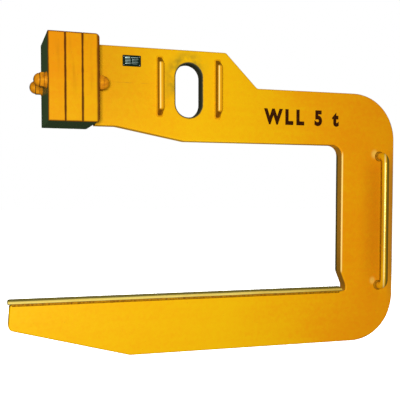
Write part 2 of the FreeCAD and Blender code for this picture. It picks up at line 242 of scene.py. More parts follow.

# A scratch along the arm, and painted highlights of the welds beside the handle's feet.
scratch = body_paint.spot(x, z, SCRATCH_PLACE, 0.085, 0.0022)
scratch = scratch * body_paint.step(body_paint.noise(60.0, stretch=(0.3, 1.0, 1.0)), 0.40, 0.55)
top_weld_highlight = body_paint.spot(x, z, TOP_HIGHLIGHT_PLACE, 0.020, 0.024)
low_weld_highlight = body_paint.spot(x, z, LOW_HIGHLIGHT_PLACE, 0.017, 0.020)
weld_highlights = top_weld_highlight + low_weld_highlight

# The throat's wall carries grime and painted shade, darker towards the rear face, with a painted
# highlight along its edges.  Beside the handle lie a painted reflection of the handle, and painted
# shade on the plate's back edge.
off_the_face = abs(body_paint.axis("Y")) + (grain - 0.5) * 0.002
along_wall = body_paint.between(z, (-0.735, -0.715), (-0.275, -0.250))
in_throat = body_paint.between(z, (-0.84, -0.80), (-0.21, -0.19))
at_wall = body_paint.between(x, (0.600, 0.612), (0.650, 0.660)) * in_throat
# Grime and painted shade on the throat's wall, and painted shade darker towards the rear face.
wall_grime_and_shade = body_paint.step(off_the_face, 0.0225, 0.0190) * at_wall
far_band_shade = body_paint.step(body_paint.axis("Y"), 0.004, 0.012) * at_wall * along_wall
near_edge = body_paint.step(off_the_face, 0.0200, 0.0222)
# A painted highlight along the throat's edges, where the wall meets the faces.
edge_highlight = body_paint.step(abs(x - THROAT_EDGE), 0.0034, 0.0014) * near_edge * along_wall
beside_handle = body_paint.between(z, (-0.88, -0.68), (-0.36, -0.20))
# A painted reflection of the handle, orange and streaky, on the plate beside it.
handle_reflection = body_paint.between(x, (0.690, 0.770), (0.785, 0.800)) * beside_handle
# Painted shade on the plate's rounded back edge, behind the handle.
behind_handle_shade = body_paint.step(x, 0.822, 0.846) * beside_handle

colour = body_paint.colours(smudge * 0.85, colour, OILY_SMUDGE)
colour = body_paint.colours(scratch * 0.5, colour, SCRATCH_BROWN)
colour = body_paint.colours(weld_highlights * 0.65, colour, HIGHLIGHT_YELLOW)
colour = body_paint.colours(shade_towards_arm_end * 0.42, colour, SHADE_OCHRE)
colour = body_paint.colours(handle_reflection * (grain * 0.5 + 0.15), colour, REFLECTION_ORANGE)
colour = body_paint.colours(wall_grime_and_shade * 0.60, colour, THROAT_GRIME_AND_SHADE)
colour = body_paint.colours(far_band_shade * 0.94, colour, THROAT_SHADE_OLIVE)
colour = body_paint.colours(behind_handle_shade * 0.60, colour, BACK_SHADE_BROWN)
colour = body_paint.colours(edge_highlight * 0.75, colour, EDGE_HIGHLIGHT_CREAM)
colour = body_paint.colours(rubbed_and_shaded_rim, colour, RUBBED_STEEL_AND_SHADE)
body_paint.set(Base_Color=colour, Metallic=rubbed_and_shaded_rim * 0.2)
body_paint.set(Roughness=grain * 0.16 + rubbed_and_shaded_rim * 0.4 + 0.29)
dress("hook_body", body_paint)


# ---- Saddle bar -------------------------------------------------------------------------------
# A crowned steel bar on top of the lower arm, where the bore of the coil rests.  It is enamelled a
# paler yellow, rubbed by coils and lightened as a painted highlight.  Its crown is dull and carries
# painted shade, its foot carries painted shade, and it turns a darker ochre towards the throat end.

RUBBED_CREAM_AND_HIGHLIGHT = (1.0, 0.80, 0.20, 1)
THROAT_END_OCHRE = (0.62, 0.36, 0.03, 1)
FOOT_SHADE_BROWN = (0.09, 0.035, 0.006, 1)
CROWN_SHADE_OLIVE = (0.075, 0.065, 0.010, 1)

saddle_low, saddle_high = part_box("saddle_bar")
saddle_paint = Finish("saddle_bar_enamel")
z = saddle_paint.axis("Z")
streaks = saddle_paint.noise(18.0, detail=5.0, roughness=0.7, stretch=(0.25, 2.0, 2.0))
# Painted shade on the crown, which is also left dull.
crown = saddle_paint.step(z + (streaks - 0.5) * 0.004, saddle_high.z - 0.0070, saddle_high.z - 0.0040)
# Rubs by the coils; the pale cream mixed in everywhere is also a painted highlight.
rubs = saddle_paint.step(streaks + saddle_paint.noise(160.0, detail=3.0) * 0.3, 0.45, 0.75)
# Painted shade along the bar's foot, under its overhang.
foot_shade = saddle_paint.step(z + (streaks - 0.5) * 0.003, saddle_low.z + 0.0050, saddle_low.z + 0.0020)
# Darker ochre towards the throat end.
towards_throat_end = saddle_paint.step(saddle_paint.axis("X"), 0.15, 0.60)
colour = brushed_enamel(saddle_paint, -0.25, gloss=0.45)
colour = saddle_paint.colours(rubs * 0.35 + 0.55, colour, RUBBED_CREAM_AND_HIGHLIGHT)
colour = saddle_paint.colours(towards_throat_end * 0.55, colour, THROAT_END_OCHRE)
colour = saddle_paint.colours(foot_shade * 0.85, colour, FOOT_SHADE_BROWN)
colour = saddle_paint.colours(crown * 0.90, colour, CROWN_SHADE_OLIVE)
saddle_paint.set(Base_Color=colour, Roughness=streaks * 0.2 + crown * 0.3 + 0.16)
dress("saddle_bar", saddle_paint)


# ---- Saddle bar welds -------------------------------------------------------------------------
# A fillet weld along each side of the bar's foot, laid by hand in short ripples from the tip to
# the foot of the throat, and painted over with the plate.  Its heavy dark colour is soot and painted
# shade of the groove under the bar.

BEAD_SIDES = 12
RIPPLE_WAIST = 0.84
LUMP_SIZE = 0.012
SMOOTH_ANGLE = math.radians(40)
WELD_SOOT_AND_SHADE = (0.12, 0.030, 0.004, 1)
BEAD_SINK = 0.0015
BEAD_INSET = 0.001
BEAD_SHARE = 0.96
LIGHT_LUMPS = 0.0008


def deselect():
    bpy.ops.object.select_all(action="DESELECT")


def choose_edges(piece, wanted):
    """In edit mode, leaves selected only the edges whose two ends pass a test."""
    bpy.ops.mesh.select_mode(type="EDGE")
    bpy.ops.mesh.select_all(action="DESELECT")
    bpy.ops.object.mode_set(mode="OBJECT")
    vertices = piece.data.vertices
    for edge in piece.data.edges:
        edge.select = wanted(vertices[edge.vertices[0]].co, vertices[edge.vertices[1]].co)
    bpy.ops.object.mode_set(mode="EDIT")


def apply_modifiers(piece):
    bpy.context.view_layer.objects.active = piece
    for modifier in list(piece.modifiers):
        bpy.ops.object.modifier_apply(modifier=modifier.name)


def settle(piece):
    """The piece's place, turn and scale go into its mesh, and its object to the origin."""
    deselect()
    piece.select_set(True)
    bpy.context.view_layer.objects.active = piece
    bpy.ops.object.transform_apply(location=True, rotation=True, scale=True)


def weld_run(start, end, radius, ripple=0.005):
    """A straight bead: one ripple, repeated along the run, its ends closed."""
    run = Vector(end) - Vector(start)
    count = max(2, round(run.length / ripple))
    pitch = run.length / count
    deselect()
    bpy.ops.mesh.primitive_cylinder_add(
        vertices=BEAD_SIDES, radius=radius, depth=pitch, end_fill_type="NOTHING", location=(0, 0, 0))
    bead = bpy.context.object
    bpy.ops.object.mode_set(mode="EDIT")
    choose_edges(bead, lambda first, second: abs(first.z - second.z) > pitch / 2)
    bpy.ops.mesh.subdivide(number_cuts=1)
    choose_edges(bead, lambda first, second: first.z > pitch / 4 and second.z > pitch / 4)
    bpy.ops.transform.resize(value=(RIPPLE_WAIST, RIPPLE_WAIST, 1), center_override=(0, 0, pitch / 2))
    choose_edges(bead, lambda first, second: first.z < -pitch / 4 and second.z < -pitch / 4)
    bpy.ops.transform.resize(value=(RIPPLE_WAIST, RIPPLE_WAIST, 1), center_override=(0, 0, -pitch / 2))
    bpy.ops.object.mode_set(mode="OBJECT")
    ripples = bead.modifiers.new("ripples", "ARRAY")
    ripples.count = count
    ripples.use_relative_offset = False
    ripples.use_constant_offset = True
    ripples.constant_offset_displace = (0, 0, pitch)
    ripples.use_merge_vertices = True
    ripples.merge_threshold = pitch / 20
    apply_modifiers(bead)
    bpy.ops.object.mode_set(mode="EDIT")
    bpy.ops.mesh.select_all(action="SELECT")
    bpy.ops.mesh.fill_holes(sides=0)
    bpy.ops.mesh.normals_make_consistent(inside=False)
    bpy.ops.object.mode_set(mode="OBJECT")
    bead.rotation_euler = run.to_track_quat("Z", "Y").to_euler()
    bead.location = Vector(start) + run.normalized() * (pitch / 2)
    settle(bead)
    return bead


def roughen(bead, strength):
    """The hand-laid unevenness of a bead."""
    lumps = bpy.data.textures.new("weld_lumps", "CLOUDS")
    lumps.noise_scale = LUMP_SIZE
    uneven = bead.modifiers.new("uneven", "DISPLACE")
    uneven.texture = lumps
    uneven.texture_coords = "LOCAL"
    uneven.strength = strength
    uneven.mid_level = 0.5
    apply_modifiers(bead)


def join(pieces, name):
    deselect()
    for piece in pieces:
        piece.select_set(True)
    bpy.context.view_layer.objects.active = pieces[0]
    if len(pieces) > 1:
        bpy.ops.object.join()
    pieces[0].name = name
    return pieces[0]


def finish_piece(piece, finish, slot, *replaced):
    """A new piece gets its finish and its body, and stands for its CAD nodes; slot is not used."""
    deselect()
    piece.select_set(True)
    bpy.context.view_layer.objects.active = piece
    bpy.ops.object.shade_smooth_by_angle(angle=SMOOTH_ANGLE)
    piece.data.materials.clear()
    piece.data.materials.append(finish.material)
    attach(piece, "root")
    if replaced:
        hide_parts(*replaced)


def weld_enamel(name, soot_and_shade):
    """Enamel over a bead, with torch blackening and grime in patches; at full strength, painted shade
    too.
    """
    finish = Finish(name)
    colour = brushed_enamel(finish, 0.35)
    patches = finish.step(finish.noise(130.0, detail=5.0, roughness=0.75), 0.62 - soot_and_shade * 0.3, 0.72)
    colour = finish.colours(patches * soot_and_shade * 0.5 + soot_and_shade * 0.45, colour, WELD_SOOT_AND_SHADE)
    finish.set(Base_Color=colour)
    return finish


saddle_weld_paint = weld_enamel("saddle_weld_enamel", 1.0)
for side_name, side in (("front", -1), ("rear", 1)):
    node = side_name + "_saddle_weld"
    weld_low, weld_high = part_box(node)
    y = side * (HALF_PLATE - BEAD_INSET)
    z = saddle_low.z - BEAD_SINK
    radius = z - weld_low.z
    bead = weld_run((weld_low.x, y, z), (weld_high.x, y, z), radius * BEAD_SHARE)
    roughen(bead, LIGHT_LUMPS)
    bead.name = side_name + "_saddle_bead"
    finish_piece(bead, saddle_weld_paint, "hoist_yellow", node)


# ---- Counterweight end plate ------------------------------------------------------------------
# A thick steel plate with its two right-hand edges well rounded, welded across the end of the
# upper arm.  Brushed with the same enamel, in a coat of its own.

PRIMER_SHADE_DARK = (0.055, 0.160, 0.045, 1)
PRIMER_SHADE_PALE = (0.130, 0.240, 0.080, 1)
RUN_AND_SHADE_OCHRE = (0.44, 0.17, 0.003, 1)
JOINT_GRIME_AND_EDGE_SHADE = (0.085, 0.012, 0.002, 1)
END_PLATE_ROUNDING = 0.013


def slab_enamel(name, orange, low, high, right_edge=0.0055):
    """One slab's enamel: grime in joints, painted shade on edges, green primer and painted shade off its
    two faces.
    """
    finish = Finish(name)
    x = finish.axis("X")
    z = finish.axis("Z")
    # Painted shade: each coat grows more orange towards the top.
    colour = brushed_enamel(finish, finish.step(z, -0.15, 0.10) * 0.55 + orange)
    wander = (finish.noise(35.0, detail=4.0) - 0.5) * 0.004
    to_side = (x - low.x).at_most(high.x - x)
    to_end = (z - low.z).at_most(high.z - z)
    # Dark bands: grime in the joints between slabs, painted shade along the top, bottom and rounded
    # edges.
    side_edge = finish.step(to_side + wander, 0.0055, 0.0015)
    end_edge_shade = finish.step(to_end + wander, 0.006, 0.001)
    rounded_edge_shade = finish.step(high.x - x + wander, right_edge, right_edge * 0.4)
    edge = side_edge.at_least(end_edge_shade).at_least(rounded_edge_shade)
    # Green primer on the faces other than the front and rear, darkened as painted shade.
    off_the_face = finish.step(abs(finish.axis("Y")), high.y - 0.0008, high.y - 0.0020)
    primer = finish.colours(finish.noise(60.0, detail=5.0), PRIMER_SHADE_DARK, PRIMER_SHADE_PALE)
    # Paint runs, over an even dulling of the whole coat that is painted shade.
    runs = finish.step(finish.noise(12.0, detail=3.0, stretch=(3.0, 3.0, 0.35)), 0.55, 0.80)
    colour = finish.colours(runs * 0.30 + 0.30, colour, RUN_AND_SHADE_OCHRE)
    colour = finish.colours(edge * 0.92, colour, JOINT_GRIME_AND_EDGE_SHADE)
    colour = finish.colours(off_the_face * 0.92, colour, primer)
    finish.set(Base_Color=colour)
    return finish


end_plate_low, end_plate_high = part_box("counterweight_end_plate")
# The wide dark band along the end plate's rounded right edge is painted shade.
end_plate_paint = slab_enamel("end_plate_enamel", 0.20, end_plate_low, end_plate_high, END_PLATE_ROUNDING)
dress("counterweight_end_plate", end_plate_paint)


# ---- End plate welds --------------------------------------------------------------------------
# Heavy beads between the end plate and the arm: one up each face, and one across the top that
# fills the plate's rounded corner.

END_BEAD_RADIUS = 0.009
END_BEAD_RIPPLE = 0.007
TOP_BEAD_SHIFT = 0.002
HEAVY_LUMPS = 0.0016
MEDIUM_LUMPS = 0.0014

weld_paint = weld_enamel("weld_enamel", 0.30)
for side_name, side in (("front", -1), ("rear", 1)):
    node = side_name + "_end_plate_weld"
    weld_low, weld_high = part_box(node)
    foot = (end_plate_high.x, side * HALF_PLATE, weld_low.z)
    head = (end_plate_high.x, side * HALF_PLATE, weld_high.z)
    bead = weld_run(foot, head, END_BEAD_RADIUS, END_BEAD_RIPPLE)
    roughen(bead, HEAVY_LUMPS)
    bead.name = side_name + "_end_plate_bead"
    finish_piece(bead, weld_paint, "hoist_yellow", node)

weld_low, weld_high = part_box("end_plate_top_weld")
top_x = (weld_low.x + weld_high.x) / 2 - TOP_BEAD_SHIFT
front_end = (top_x, weld_low.y, weld_low.z)
rear_end = (top_x, weld_high.y, weld_low.z)
top_bead = weld_run(front_end, rear_end, END_BEAD_RADIUS, END_BEAD_RIPPLE)
roughen(top_bead, MEDIUM_LUMPS)
top_bead.name = "end_plate_top_bead"
finish_piece(top_bead, weld_paint, "hoist_yellow", "end_plate_top_weld")


# ---- Counterweight slabs ----------------------------------------------------------------------
# Two plain steel slabs, flame cut to the end plate's size and clamped against it.  Their coats are
# made more orange the further out the slab stands, as painted shade where the light falls off.

for node, orange in (("counterweight_middle_slab", 0.35), ("counterweight_outer_slab", 0.65)):
    slab_low, slab_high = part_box(node)
    coat = node.replace("counterweight_", "") + "_enamel"
    slab_paint = slab_enamel(coat, orange, slab_low, slab_high)
    dress(node, slab_paint)


# ---- Tie studs --------------------------------------------------------------------------------
# Two M30 bright steel studs that run through the three slabs, left and right of the arm.
# They are turned bar, so the marks run round them.

TARNISH = (0.10, 0.065, 0.04, 1)

stud_steel = Finish("turned_stud_steel")
turning = stud_steel.noise(900.0, detail=2.0, stretch=(1.0, 0.02, 0.02))
tarnish = stud_steel.step(stud_steel.noise(45.0, detail=5.0), 0.45, 0.75)
stud_steel.set(Base_Color=stud_steel.colours(tarnish, BARE_STEEL, TARNISH), Metallic=1.0)
stud_steel.set(Roughness=tarnish * 0.25 + 0.28, Normal=stud_steel.bump(turning, 0.0002, 0.5))
for node in ("front_tie_stud", "rear_tie_stud"):
    dress(node, stud_steel)


# ---- Washers ----------------------------------------------------------------------------------
# Flat washers under all four nuts, and split spring washers under the outer two.  They were
# painted in place and have weathered to an orange brown in patches.

COAT_ORANGE = (0.80, 0.30, 0.006, 1)
COAT_RUST = (0.46, 0.13, 0.006, 1)
WORN_BROWN = (0.06, 0.035, 0.02, 1)
GROOVE_DIRT_AND_SHADE = (0.05, 0.018, 0.006, 1)


def weathered_coat(name, strength, grooves=()):
    """Paint that the spanner and the weather have dulled, with dirt and painted shade in bands at the
    given places.
    """
    finish = Finish(name)
    x = finish.axis("X")
    patches = finish.noise(55.0, detail=6.0, roughness=0.75)
    fine = finish.noise(300.0, detail=3.0)
    colour = finish.colours(finish.step(patches, 0.35, 0.75), COAT_ORANGE, COAT_RUST)
    worn = finish.step(patches + fine * 0.25, 0.74, 0.86) * strength
    colour = finish.colours(worn, colour, WORN_BROWN)
    for groove in grooves:
        dirt = finish.step(abs(x - groove) + (patches - 0.5) * 0.001, 0.0022, 0.0006)
        colour = finish.colours(dirt * 0.85, colour, GROOVE_DIRT_AND_SHADE)
    finish.set(Base_Color=colour, Roughness=worn * 0.2 + patches * 0.3 + 0.26)
    finish.set(Specular_IOR_Level=0.3, Specular_Tint=ENAMEL_GLOSS)
    finish.set(Normal=finish.bump(patches + fine * 0.4, 0.0006, 0.6))
    return finish


washer_coat = weathered_coat("weathered_washer", 0.8)
for node in ("outer_washers", "inner_washers", "lock_washers"):
    dress(node, washer_coat)


# ---- Cap nuts ---------------------------------------------------------------------------------
# Four forged M30 cap nuts: a chamfered hexagon closed by a dome, one on each end of both studs.
# Their corners are rounded by the spanner.

NUT_FLATS = 0.046
NUT_HEX_HEIGHT = 0.015
NUT_HEIGHT = 0.035
NUT_CHAMFER_ANGLE = math.radians(30)
NUT_CHAMFER_RISE = 0.0135
NUT_SOCKET_RADIUS = 0.0151
NUT_SOCKET_DEPTH = 0.017
NUT_ROUNDING = 0.0007
NUT_SHARP_ANGLE = math.radians(35)
NUT_TURN = 0.04
DOME_INSET = 0.0008
DOME_OVERLAP = 0.002
TIP_SHADE_INSET = 0.0010
nut_corner = NUT_FLATS / math.sqrt(3)
dome_radius = NUT_FLATS / 2 - DOME_INSET

deselect()
bpy.ops.mesh.primitive_cylinder_add(
    vertices=6, radius=nut_corner, depth=NUT_HEX_HEIGHT, location=(0, 0, NUT_HEX_HEIGHT / 2))
hexagon = bpy.context.object
settle(hexagon)

# The chamfer is what a wide flat cone leaves of the hexagon.
cone_height = NUT_HEX_HEIGHT + NUT_CHAMFER_RISE
deselect()
bpy.ops.mesh.primitive_cone_add(
    vertices=72, radius1=cone_height / math.tan(NUT_CHAMFER_ANGLE), radius2=0,
    depth=cone_height, location=(0, 0, cone_height / 2))
cone = bpy.context.object
settle(cone)


def cut_with(piece, tool, operation):
    """A Boolean modifier, applied, and its tool taken away."""
    cut = piece.modifiers.new("cut", "BOOLEAN")
    cut.operation = operation
    cut.solver = "EXACT"
    cut.object = tool
    apply_modifiers(piece)
    bpy.data.objects.remove(tool)


cut_with(hexagon, cone, "INTERSECT")

deselect()
bpy.ops.mesh.primitive_uv_sphere_add(segments=48, ring_count=24, radius=dome_radius, location=(0, 0, 0))
dome = bpy.context.object
bpy.ops.object.mode_set(mode="EDIT")
bpy.ops.mesh.select_all(action="SELECT")
bpy.ops.mesh.bisect(plane_co=(0, 0, -DOME_OVERLAP), plane_no=(0, 0, 1), clear_inner=True, use_fill=True)
bpy.ops.mesh.select_all(action="SELECT")
dome_rise = (NUT_HEIGHT - NUT_HEX_HEIGHT) / dome_radius
bpy.ops.transform.resize(value=(1, 1, dome_rise), center_override=(0, 0, 0))
bpy.ops.object.mode_set(mode="OBJECT")
dome.location = (0, 0, NUT_HEX_HEIGHT)
settle(dome)
cut_with(hexagon, dome, "UNION")

# The socket for the stud, as deep as the thread.
deselect()
bpy.ops.mesh.primitive_cylinder_add(
    vertices=48, radius=NUT_SOCKET_RADIUS, depth=2 * NUT_SOCKET_DEPTH, location=(0, 0, 0))
socket = bpy.context.object
settle(socket)
cut_with(hexagon, socket, "DIFFERENCE")
rounded = hexagon.modifiers.new("rounded", "BEVEL")
rounded.width = NUT_ROUNDING
rounded.segments = 2
rounded.angle_limit = NUT_SHARP_ANGLE
rounded.use_clamp_overlap = True
apply_modifiers(hexagon)

for place, way in (("outer", -1), ("inner", 1)):
    seat_low, seat_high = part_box(place + "_cap_nuts")
    seat = seat_high.x if way < 0 else seat_low.x
    # A band of painted shade just short of the dome's tip; dirt and painted shade in the grooves.
    tip = seat + way * (NUT_HEIGHT - TIP_SHADE_INSET)
    outside = way < 0
    grooves = (seat, seat + way * NUT_HEX_HEIGHT, tip) if outside else (seat, tip)
    nut_coat = weathered_coat(place + "_cap_nut_coat", 1.0 if outside else 0.5, grooves)
    height = (seat_low.z + seat_high.z) / 2
    offset = (seat_high.y - seat_low.y - NUT_FLATS) / 2
    nuts = []
    for side in (-1, 1):
        nut = hexagon.copy()
        nut.data = hexagon.data.copy()
        bpy.context.collection.objects.link(nut)
        nut.rotation_euler = (random.uniform(-NUT_TURN, NUT_TURN), way * math.pi / 2, 0)
        nut.location = (seat, side * offset, height)
        settle(nut)
        nuts.append(nut)
    pair = join(nuts, place + "_domed_nuts")
    finish_piece(pair, nut_coat, "fastener_paint", place + "_cap_nuts")
bpy.data.objects.remove(hexagon)


# ---- Guide ribs -------------------------------------------------------------------------------
# Flat bars on edge, two on each face, that keep the crane hook's sides off the plate.  Their
# ends are sloped, and the hook has chipped their outer edges.  Their flanks carry painted shade, and
# a painted highlight runs along each outer face.

RIB_BEAD = 0.0034
RIB_RIPPLE = 0.004
HIGHLIGHT_LINE = -0.0056
FLANK_SHADE_MAROON = (0.11, 0.022, 0.003, 1)
RIB_SHADE = (0.46, 0.17, 0.003, 1)
HIGHLIGHT_CREAM = (1.0, 0.80, 0.32, 1)

rib_paint = Finish("rib_enamel")
x = rib_paint.axis("X")
y = rib_paint.axis("Y")
chips = rib_paint.noise(110.0, detail=6.0, roughness=0.8)
outer_edge = rib_paint.step(abs(y), HALF_PLATE + 0.030, HALF_PLATE + 0.0345)
chipped = rib_paint.step(chips + outer_edge * 0.05, 0.70, 0.74) * outer_edge
# Painted shade on the flanks.
flank_shade = rib_paint.step(abs(y) + (chips - 0.5) * 0.004, HALF_PLATE + 0.031, HALF_PLATE + 0.027)
rib_low, rib_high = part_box("front_right_rib")
across = x - x.sign() * ((rib_low.x + rib_high.x) / 2)
# A painted highlight line along the outer face, near its left edge.
rib_highlight_line = rib_paint.step(abs(across - HIGHLIGHT_LINE), 0.0026, 0.0008) * outer_edge
shaded = rib_paint.step(across, 0.0005, 0.0035)
colour = brushed_enamel(rib_paint, 0.35, gloss=0.7)
colour = rib_paint.colours(flank_shade * 0.88, colour, FLANK_SHADE_MAROON)
colour = rib_paint.colours(shaded * 0.55, colour, RIB_SHADE)
colour = rib_paint.colours(rib_highlight_line * 0.75, colour, HIGHLIGHT_CREAM)
colour = rib_paint.colours(chipped, colour, BARE_STEEL)
rib_paint.set(Base_Color=colour, Metallic=chipped * 0.8)

for side_name, side in (("front", -1), ("rear", 1)):
    for rib_name in ("left", "right"):
        rib_node = side_name + "_" + rib_name + "_rib"
        dress(rib_node, rib_paint)
        low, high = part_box(rib_node)
        y = side * HALF_PLATE
        corners = [(low.x, y, low.z), (high.x, y, low.z), (high.x, y, high.z), (low.x, y, high.z)]
        runs = []
        for index, corner in enumerate(corners):
            runs.append(weld_run(corner, corners[(index + 1) % 4], RIB_BEAD, RIB_RIPPLE))
        weld = join(runs, rib_node + "_bead")
        roughen(weld, LIGHT_LUMPS)
        finish_piece(weld, weld_paint, "hoist_yellow", rib_node + "_weld")


# ---- Handles ----------------------------------------------------------------------------------
# Round bar, 28 mm, bent twice and welded to each face near the back, for swinging the hook by
# hand.  Gloves have darkened the grip.  A painted highlight runs along it, with painted shade on its
# far side and its near edge, and soot and painted shade at its feet.

HANDLE_RADIUS = 0.014
ACROSS_GRIP_X = 0.84
ACROSS_GRIP_Y = 0.54
GRIP_BROWN = (0.40, 0.17, 0.012, 1)
GRIP_HIGHLIGHT_CREAM = (1.0, 0.80, 0.34, 1)
GRIP_SHADE_OLIVE = (0.10, 0.075, 0.010, 1)
GRIP_SHADE_MAROON = (0.16, 0.035, 0.003, 1)
FOOT_SOOT_AND_SHADE_MAROON = (0.22, 0.045, 0.004, 1)

handle_low, handle_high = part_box("front_handle")
handle_x = (handle_low.x + handle_high.x) / 2
grip_off_plate = -handle_low.y - HANDLE_RADIUS
grip_middle = (handle_low.z + handle_high.z) / 2
grip_half = (handle_high.z - handle_low.z) / 2 - 0.030

# The stains, the painted highlight and the painted shade run along the grip.  across_grip is the
# distance from the grip's middle on a slanting line square to it, so it goes from -14 to 14 mm over
# the bar.
handle_paint = Finish("handle_enamel")
z = handle_paint.axis("Z")
off_plate = abs(handle_paint.axis("Y"))
along = abs(z - grip_middle)
slant_x = (handle_paint.axis("X") - handle_x) * ACROSS_GRIP_X
slant_y = (off_plate - grip_off_plate) * ACROSS_GRIP_Y
across_grip = slant_x + slant_y
smears = handle_paint.noise(34.0, detail=5.0, roughness=0.7, stretch=(1.0, 1.0, 0.3))
speckle = handle_paint.noise(150.0, detail=4.0, roughness=0.7)
held = handle_paint.step(along + (smears - 0.5) * 0.20, 0.20, 0.06)
on_grip = handle_paint.step(along, grip_half, grip_half - 0.020)
# Painted shade on the grip's far side.
far_side_shade = handle_paint.step(across_grip, 0.0025, 0.0065)
# Painted shade along the grip's near edge.
near_side_shade = handle_paint.step(across_grip, -0.0112, -0.0130) * on_grip
# A painted highlight line along the grip, just left of its middle.
grip_highlight = handle_paint.step(abs(across_grip + 0.0015), 0.0034, 0.0010)
# Soot and painted shade where the bar comes down to the plate.
uneven_reach = off_plate + (smears - 0.5) * 0.020
foot_soot_and_shade = handle_paint.step(uneven_reach, HALF_PLATE + 0.022, HALF_PLATE + 0.004)
flecks = handle_paint.step(speckle + held * 0.05, 0.66, 0.71)

colour = brushed_enamel(handle_paint, 0.20, gloss=1.0)
colour = handle_paint.colours(held * 0.35, colour, GRIP_BROWN)
colour = handle_paint.colours(grip_highlight * (smears * 0.4 + 0.4), colour, GRIP_HIGHLIGHT_CREAM)
colour = handle_paint.colours(far_side_shade * 0.85, colour, GRIP_SHADE_OLIVE)
colour = handle_paint.colours(near_side_shade * 0.80, colour, GRIP_SHADE_MAROON)
colour = handle_paint.colours(foot_soot_and_shade * 0.70, colour, FOOT_SOOT_AND_SHADE_MAROON)
colour = handle_paint.colours(flecks * 0.8, colour, BARE_STEEL)
handle_paint.set(Base_Color=colour, Metallic=flecks * 0.6, Roughness=smears * 0.15 + 0.16)
for node in ("front_handle", "rear_handle"):
    dress(node, handle_paint)


# ---- Handle welds -----------------------------------------------------------------------------
# One rippled bead all the way round each foot, laid in short dabs, blackened by the torch and
# darkened further as painted shade.
# One ring of dabs serves as the pattern for all four feet.

FOOT_BEAD = 0.0065
FOOT_DABS = 22

deselect()
bpy.ops.mesh.primitive_torus_add(
    major_segments=2 * FOOT_DABS, minor_segments=10, major_radius=HANDLE_RADIUS, minor_radius=FOOT_BEAD,
    location=(0, 0, 0))
ring = bpy.context.object
bpy.ops.object.mode_set(mode="EDIT")
for dab in range(FOOT_DABS):
    angle = 2 * math.pi * (2 * dab + 1) / (2 * FOOT_DABS)
    waist = Vector((math.cos(angle), math.sin(angle), 0)) * HANDLE_RADIUS
    radial = waist.normalized()
    across = Vector((-radial.y, radial.x, 0))

    def at_waist(first, second):
        in_line = abs(first.dot(across)) < 0.0002 and abs(second.dot(across)) < 0.0002
        return in_line and first.dot(radial) > 0 and second.dot(radial) > 0

    choose_edges(ring, at_waist)
    bpy.ops.transform.resize(value=(RIPPLE_WAIST, RIPPLE_WAIST, RIPPLE_WAIST), center_override=waist)
bpy.ops.object.mode_set(mode="OBJECT")

# At full strength the beads' darkening is soot and painted shade.
foot_weld_paint = weld_enamel("handle_weld_enamel", 1.0)
feet_heights = (handle_low.z + HANDLE_RADIUS, handle_high.z - HANDLE_RADIUS)
for side_name, side in (("front", -1), ("rear", 1)):
    rings = []
    for height in feet_heights:
        foot = ring.copy()
        foot.data = ring.data.copy()
        bpy.context.collection.objects.link(foot)
        foot.rotation_euler = (math.pi / 2, 0, 0)
        foot.location = (handle_x, side * HALF_PLATE, height)
        settle(foot)
        rings.append(foot)
    beads = join(rings, side_name + "_handle_beads")
    roughen(beads, MEDIUM_LUMPS)
    finish_piece(beads, foot_weld_paint, "hoist_yellow", side_name + "_handle_welds")
bpy.data.objects.remove(ring)


# ---- Nameplate --------------------------------------------------------------------------------
# An etched aluminium plate with a dark green ground and a raised rim of the same colour.  Its
# blank ruled lines are left bright.

GROUND_GREEN = (0.004, 0.014, 0.008, 1)
GROUND_DUST = (0.05, 0.05, 0.03, 1)
LINE_BRIGHT = (0.40, 0.56, 0.52, 1)
LINE_DULL = (0.05, 0.09, 0.08, 1)

plate_ground = Finish("nameplate_ground")
etch = plate_ground.noise(500.0, detail=3.0)
dust = plate_ground.step(plate_ground.noise(60.0, detail=5.0), 0.50, 0.80)
plate_ground.set(Base_Color=plate_ground.colours(dust * 0.25, GROUND_GREEN, GROUND_DUST))
plate_ground.set(Roughness=dust * 0.25 + 0.45, Normal=plate_ground.bump(etch, 0.0002, 0.5))
plate_ground.set(Specular_IOR_Level=0.05)
dress("nameplate", plate_ground)

plate_bright = Finish("nameplate_bright")
rolled = plate_bright.noise(300.0, detail=3.0, stretch=(0.05, 1.0, 1.0))
dull = plate_bright.step(plate_bright.noise(120.0, detail=4.0), 0.45, 0.75)
plate_bright.set(Base_Color=plate_bright.colours(dull * 0.8, LINE_BRIGHT, LINE_DULL), Metallic=0.2)
plate_bright.set(Roughness=dull * 0.3 + 0.30, Normal=plate_bright.bump(rolled, 0.0001, 0.5))

name_low, name_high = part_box("nameplate")
name_size = name_high - name_low
name_middle = (name_low + name_high) / 2
RELIEF = 0.0004
RIM_INSET = 0.0018
RIM_WIDTH = 0.0010
RIM_CORNER = 0.0022

deselect()
bpy.ops.mesh.primitive_plane_add(size=1, location=(0, 0, 0))
rim = bpy.context.object
rim.scale = (name_size.x - 2 * RIM_INSET, name_size.z - 2 * RIM_INSET, 1)
settle(rim)
bpy.ops.object.mode_set(mode="EDIT")
bpy.ops.mesh.select_all(action="SELECT")
bpy.ops.mesh.bevel(offset=RIM_CORNER, segments=4, affect="VERTICES")
bpy.ops.mesh.select_all(action="SELECT")
bpy.ops.mesh.inset(thickness=RIM_WIDTH)
bpy.ops.mesh.delete(type="FACE")
bpy.ops.mesh.select_all(action="SELECT")
bpy.ops.mesh.extrude_region_move(TRANSFORM_OT_translate={"value": (0, 0, RELIEF)})
bpy.ops.mesh.select_all(action="SELECT")
bpy.ops.mesh.normals_make_consistent(inside=False)
bpy.ops.object.mode_set(mode="OBJECT")


